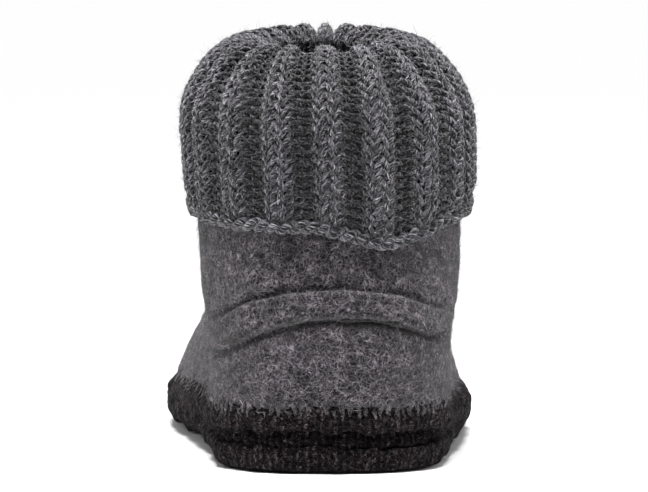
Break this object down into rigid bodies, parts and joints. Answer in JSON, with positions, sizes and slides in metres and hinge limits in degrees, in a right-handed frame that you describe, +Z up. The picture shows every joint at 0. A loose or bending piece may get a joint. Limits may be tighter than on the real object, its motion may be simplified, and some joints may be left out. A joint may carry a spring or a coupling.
{
  "type": "wool slipper",
  "caption": "Ankle-high felted wool slipper for the right foot with a dark cup sole and a ribbed knit cuff turned down over the collar; keeps one foot warm indoors.",
  "frame": {"origin": "on the floor under the middle of the slipper's bounding box", "axes": "+Y from heel to toe, +X to the outer side of the foot, +Z up"},
  "size_m": [0.1124, 0.2722, 0.1493],
  "materials": {
    "upper_felt": "matt felted wool, mid grey with pale and dark flecks",
    "sole_felt": "matt thick felted wool, charcoal",
    "insole_felt": "matt felted wool, mid grey",
    "cuff_knit": "soft two-by-two rib knit in flecked grey wool"
  },
  "bodies": {
    "root": {"upper": "upper_felt", "sole": "sole_felt", "insole": "insole_felt", "cuff": "cuff_knit"}
  },
  "joints": []
}
